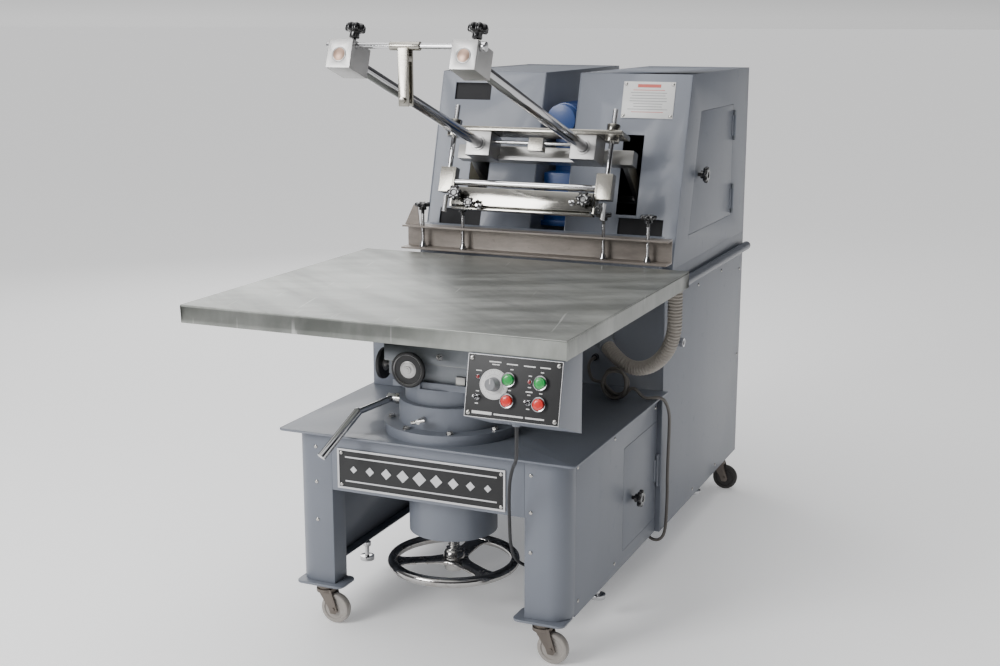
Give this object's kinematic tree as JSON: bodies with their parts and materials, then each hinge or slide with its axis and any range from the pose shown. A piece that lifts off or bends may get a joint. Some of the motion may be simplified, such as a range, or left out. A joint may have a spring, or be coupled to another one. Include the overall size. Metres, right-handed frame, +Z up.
{
  "type": "flatbed screen printing press",
  "caption": "Semi-automatic flat-bed screen printing press with a lifting vacuum table, tilting squeegee head, screen clamp and cabinet on casters.",
  "frame": {"origin": "on the floor, under the centre of the machine's bounding box", "axes": "+Z up, -Y towards the operator, +Y from the table back along the cabinet, +X to the operator's right"},
  "size_m": [0.95, 1.9013, 1.5119],
  "materials": {
    "body_paint": "gloss",
    "side_tube_steel": "satin",
    "motor_blue": "gloss",
    "cast_grey": "satin",
    "plate_black": "satin",
    "chrome": "polished",
    "channel_paint": "satin",
    "caster_steel": "satin",
    "caster_tyre": "matte",
    "hose_grey": "matte",
    "cable_black": "matte",
    "table_steel": "brushed",
    "button_green": "gloss",
    "button_red": "gloss",
    "dial_grey": "satin",
    "satin_aluminium": "satin",
    "bakelite": "gloss",
    "yoke_steel": "satin",
    "nickel": "satin"
  },
  "bodies": {
    "base": {"base_top_plate": "body_paint", "front_legs": "body_paint", "base_panels": "body_paint", "lower_cabinet": "body_paint", "duct_housing": "body_paint", "side_tubes": "side_tube_steel", "housing_left": "body_paint", "housing_right": "body_paint", "gear_motor": "motor_blue", "vacuum_blower": "cast_grey", "pedestal_sleeve": "body_paint", "nameplates": "plate_black", "panel_screws": "chrome", "frame_channel": "channel_paint", "caster_plates": "caster_steel", "leveling_feet": "chrome", "vacuum_hose": "hose_grey", "control_cable": "cable_black", "mains_cable": "cable_black", "cable_coil": "cable_black"},
    "column": {"column": "body_paint", "control_box": "body_paint", "control_panel": "plate_black"},
    "lift_handwheel": {"lift_handwheel": "chrome"},
    "saddle": {"saddle": "cast_grey"},
    "table": {"table": "table_steel"},
    "depth_wheel": {"depth_wheel": "chrome"},
    "cross_wheel": {"cross_wheel": "chrome"},
    "clamp_lever": {"clamp_lever": "chrome"},
    "upper_door": {"upper_door": "body_paint"},
    "lower_door": {"lower_door": "body_paint"},
    "print_head": {"arm_rods": "chrome", "end_blocks": "satin_aluminium", "head_yoke": "yoke_steel"},
    "hang_lever": {"hang_lever": "satin_aluminium"},
    "end_knob_left": {"end_knob_left": "bakelite"},
    "end_knob_right": {"end_knob_right": "bakelite"},
    "carriage": {"carriage_blocks": "satin_aluminium", "carriage_bridge": "channel_paint"},
    "squeegee": {"squeegee_holder": "nickel", "squeegee_blade": "nickel"},
    "speed_dial": {"speed_dial": "dial_grey"},
    "caster_fork_front_left": {"caster_fork_front_left": "caster_steel"},
    "caster_wheel_front_left": {"caster_wheel_front_left": "caster_tyre"},
    "caster_fork_front_right": {"caster_fork_front_right": "caster_steel"},
    "caster_wheel_front_right": {"caster_wheel_front_right": "caster_tyre"},
    "caster_fork_rear_left": {"caster_fork_rear_left": "caster_steel"},
    "caster_wheel_rear_left": {"caster_wheel_rear_left": "caster_tyre"},
    "caster_fork_rear_right": {"caster_fork_rear_right": "caster_steel"},
    "caster_wheel_rear_right": {"caster_wheel_rear_right": "caster_tyre"},
    "frame_clamp_1": {"frame_clamp_1": "bakelite"},
    "frame_clamp_2": {"frame_clamp_2": "bakelite"},
    "frame_clamp_3": {"frame_clamp_3": "bakelite"},
    "frame_clamp_4": {"frame_clamp_4": "bakelite"},
    "button_machine_on": {"button_machine_on": "button_green"},
    "button_machine_off": {"button_machine_off": "button_red"},
    "button_vacuum_on": {"button_vacuum_on": "button_green"},
    "button_vacuum_off": {"button_vacuum_off": "button_red"},
    "counter_toggle": {"counter_toggle": "chrome"},
    "timer_toggle": {"timer_toggle": "chrome"}
  },
  "joints": [
    {"name": "column_lift", "type": "slide", "parent": "base", "child": "column", "axis": [0, 0, 1], "range_m": [0, 0.055]},
    {"name": "lift_handwheel_turn", "type": "hinge", "parent": "column", "child": "lift_handwheel", "pos_m": [0, -0.452, 0.165], "axis": [0, 0, 1], "range_deg": [0, 3301]},
    {"name": "depth_slide", "type": "slide", "parent": "column", "child": "saddle", "axis": [0, 1, 0], "range_m": [-0.01, 0.01]},
    {"name": "cross_slide", "type": "slide", "parent": "saddle", "child": "table", "axis": [1, 0, 0], "range_m": [-0.01, 0.01]},
    {"name": "depth_wheel_turn", "type": "hinge", "parent": "column", "child": "depth_wheel", "pos_m": [-0.056, -0.5893, 0.6893], "axis": [0, 1, 0], "range_deg": [-901, 901]},
    {"name": "cross_wheel_turn", "type": "hinge", "parent": "saddle", "child": "cross_wheel", "pos_m": [-0.1653, -0.513, 0.68094], "axis": [1, 0, 0], "range_deg": [-901, 901]},
    {"name": "clamp_lever_turn", "type": "hinge", "parent": "base", "child": "clamp_lever", "pos_m": [-0.15, -0.483, 0.584], "axis": [-1, 0, 0], "range_deg": [0, 35]},
    {"name": "lower_door_hinge", "type": "hinge", "parent": "base", "child": "lower_door", "pos_m": [0.3703, 0.086, 0.29], "axis": [0, 0, 1], "range_deg": [0, 95]},
    {"name": "upper_door_hinge", "type": "hinge", "parent": "base", "child": "upper_door", "pos_m": [0.3843, 0.766, 1.09], "axis": [0, 0, 1], "range_deg": [0, 100]},
    {"name": "head_lift", "type": "hinge", "parent": "base", "child": "print_head", "pos_m": [0, 0.33, 1.01], "axis": [-1, 0, 0], "range_deg": [-18.84, 0]},
    {"name": "carriage_slide", "type": "slide", "parent": "print_head", "child": "carriage", "axis": [0, -0.9464, 0.3229], "range_m": [0, 0.62]},
    {"name": "squeegee_slide", "type": "slide", "parent": "carriage", "child": "squeegee", "axis": [0, -0.3229, -0.9464], "range_m": [0, 0.03]},
    {"name": "hang_lever_swing", "type": "hinge", "parent": "print_head", "child": "hang_lever", "pos_m": [0, -0.68314, 1.4573], "axis": [1, 0, 0], "range_deg": [-40, 40]},
    {"name": "end_knob_left_turn", "type": "hinge", "parent": "print_head", "child": "end_knob_left", "pos_m": [-0.154, -0.64489, 1.45482], "axis": [0, 0.3229, 0.9464], "continuous": true},
    {"name": "end_knob_right_turn", "type": "hinge", "parent": "print_head", "child": "end_knob_right", "pos_m": [0.154, -0.64489, 1.45482], "axis": [0, 0.3229, 0.9464], "continuous": true},
    {"name": "frame_clamp_1_turn", "type": "hinge", "parent": "base", "child": "frame_clamp_1", "pos_m": [-0.336, 0.063, 0.95], "axis": [0, 0, 1], "continuous": true},
    {"name": "frame_clamp_2_turn", "type": "hinge", "parent": "base", "child": "frame_clamp_2", "pos_m": [-0.21, 0.063, 0.95], "axis": [0, 0, 1], "continuous": true},
    {"name": "frame_clamp_3_turn", "type": "hinge", "parent": "base", "child": "frame_clamp_3", "pos_m": [0.21, 0.063, 0.95], "axis": [0, 0, 1], "continuous": true},
    {"name": "frame_clamp_4_turn", "type": "hinge", "parent": "base", "child": "frame_clamp_4", "pos_m": [0.336, 0.063, 0.95], "axis": [0, 0, 1], "continuous": true},
    {"name": "caster_swivel_front_left", "type": "hinge", "parent": "base", "child": "caster_fork_front_left", "pos_m": [-0.299, -0.588, 0.088], "axis": [0, 0, 1], "continuous": true},
    {"name": "caster_swivel_front_right", "type": "hinge", "parent": "base", "child": "caster_fork_front_right", "pos_m": [0.299, -0.588, 0.088], "axis": [0, 0, 1], "continuous": true},
    {"name": "caster_swivel_rear_left", "type": "hinge", "parent": "base", "child": "caster_fork_rear_left", "pos_m": [-0.345, 0.85, 0.088], "axis": [0, 0, 1], "continuous": true},
    {"name": "caster_swivel_rear_right", "type": "hinge", "parent": "base", "child": "caster_fork_rear_right", "pos_m": [0.345, 0.85, 0.088], "axis": [0, 0, 1], "continuous": true},
    {"name": "caster_roll_front_left", "type": "hinge", "parent": "caster_fork_front_left", "child": "caster_wheel_front_left", "pos_m": [-0.271, -0.588, 0.04], "axis": [0, 1, 0], "continuous": true},
    {"name": "caster_roll_front_right", "type": "hinge", "parent": "caster_fork_front_right", "child": "caster_wheel_front_right", "pos_m": [0.327, -0.588, 0.04], "axis": [0, 1, 0], "continuous": true},
    {"name": "caster_roll_rear_left", "type": "hinge", "parent": "caster_fork_rear_left", "child": "caster_wheel_rear_left", "pos_m": [-0.317, 0.85, 0.04], "axis": [0, 1, 0], "continuous": true},
    {"name": "caster_roll_rear_right", "type": "hinge", "parent": "caster_fork_rear_right", "child": "caster_wheel_rear_right", "pos_m": [0.373, 0.85, 0.04], "axis": [0, 1, 0], "continuous": true},
    {"name": "button_machine_on_press", "type": "slide", "parent": "column", "child": "button_machine_on", "axis": [0, 0.9782, -0.2075], "range_m": [0, 0.004], "stiffness_N_per_m": 800},
    {"name": "button_machine_off_press", "type": "slide", "parent": "column", "child": "button_machine_off", "axis": [0, 0.9782, -0.2075], "range_m": [0, 0.004], "stiffness_N_per_m": 800},
    {"name": "button_vacuum_on_press", "type": "slide", "parent": "column", "child": "button_vacuum_on", "axis": [0, 0.9782, -0.2075], "range_m": [0, 0.004], "stiffness_N_per_m": 800},
    {"name": "button_vacuum_off_press", "type": "slide", "parent": "column", "child": "button_vacuum_off", "axis": [0, 0.9782, -0.2075], "range_m": [0, 0.004], "stiffness_N_per_m": 800},
    {"name": "counter_toggle_flip", "type": "hinge", "parent": "column", "child": "counter_toggle", "pos_m": [0.2835, -0.93383, 0.74467], "axis": [1, 0, 0], "range_deg": [0, 24]},
    {"name": "timer_toggle_flip", "type": "hinge", "parent": "column", "child": "timer_toggle", "pos_m": [0.3995, -0.93383, 0.74467], "axis": [1, 0, 0], "range_deg": [0, 24]},
    {"name": "speed_dial_turn", "type": "hinge", "parent": "column", "child": "speed_dial", "pos_m": [0.32, -0.92369, 0.77319], "axis": [0, -0.9782, 0.2075], "range_deg": [-150, 150]}
  ],
  "couplings": [
    {"joint": "lift_handwheel_turn", "follows": "column_lift", "rad_per_m": 1047.2},
    {"joint": "depth_wheel_turn", "follows": "depth_slide", "rad_per_m": 1570.8},
    {"joint": "cross_wheel_turn", "follows": "cross_slide", "rad_per_m": 1570.8}
  ]
}
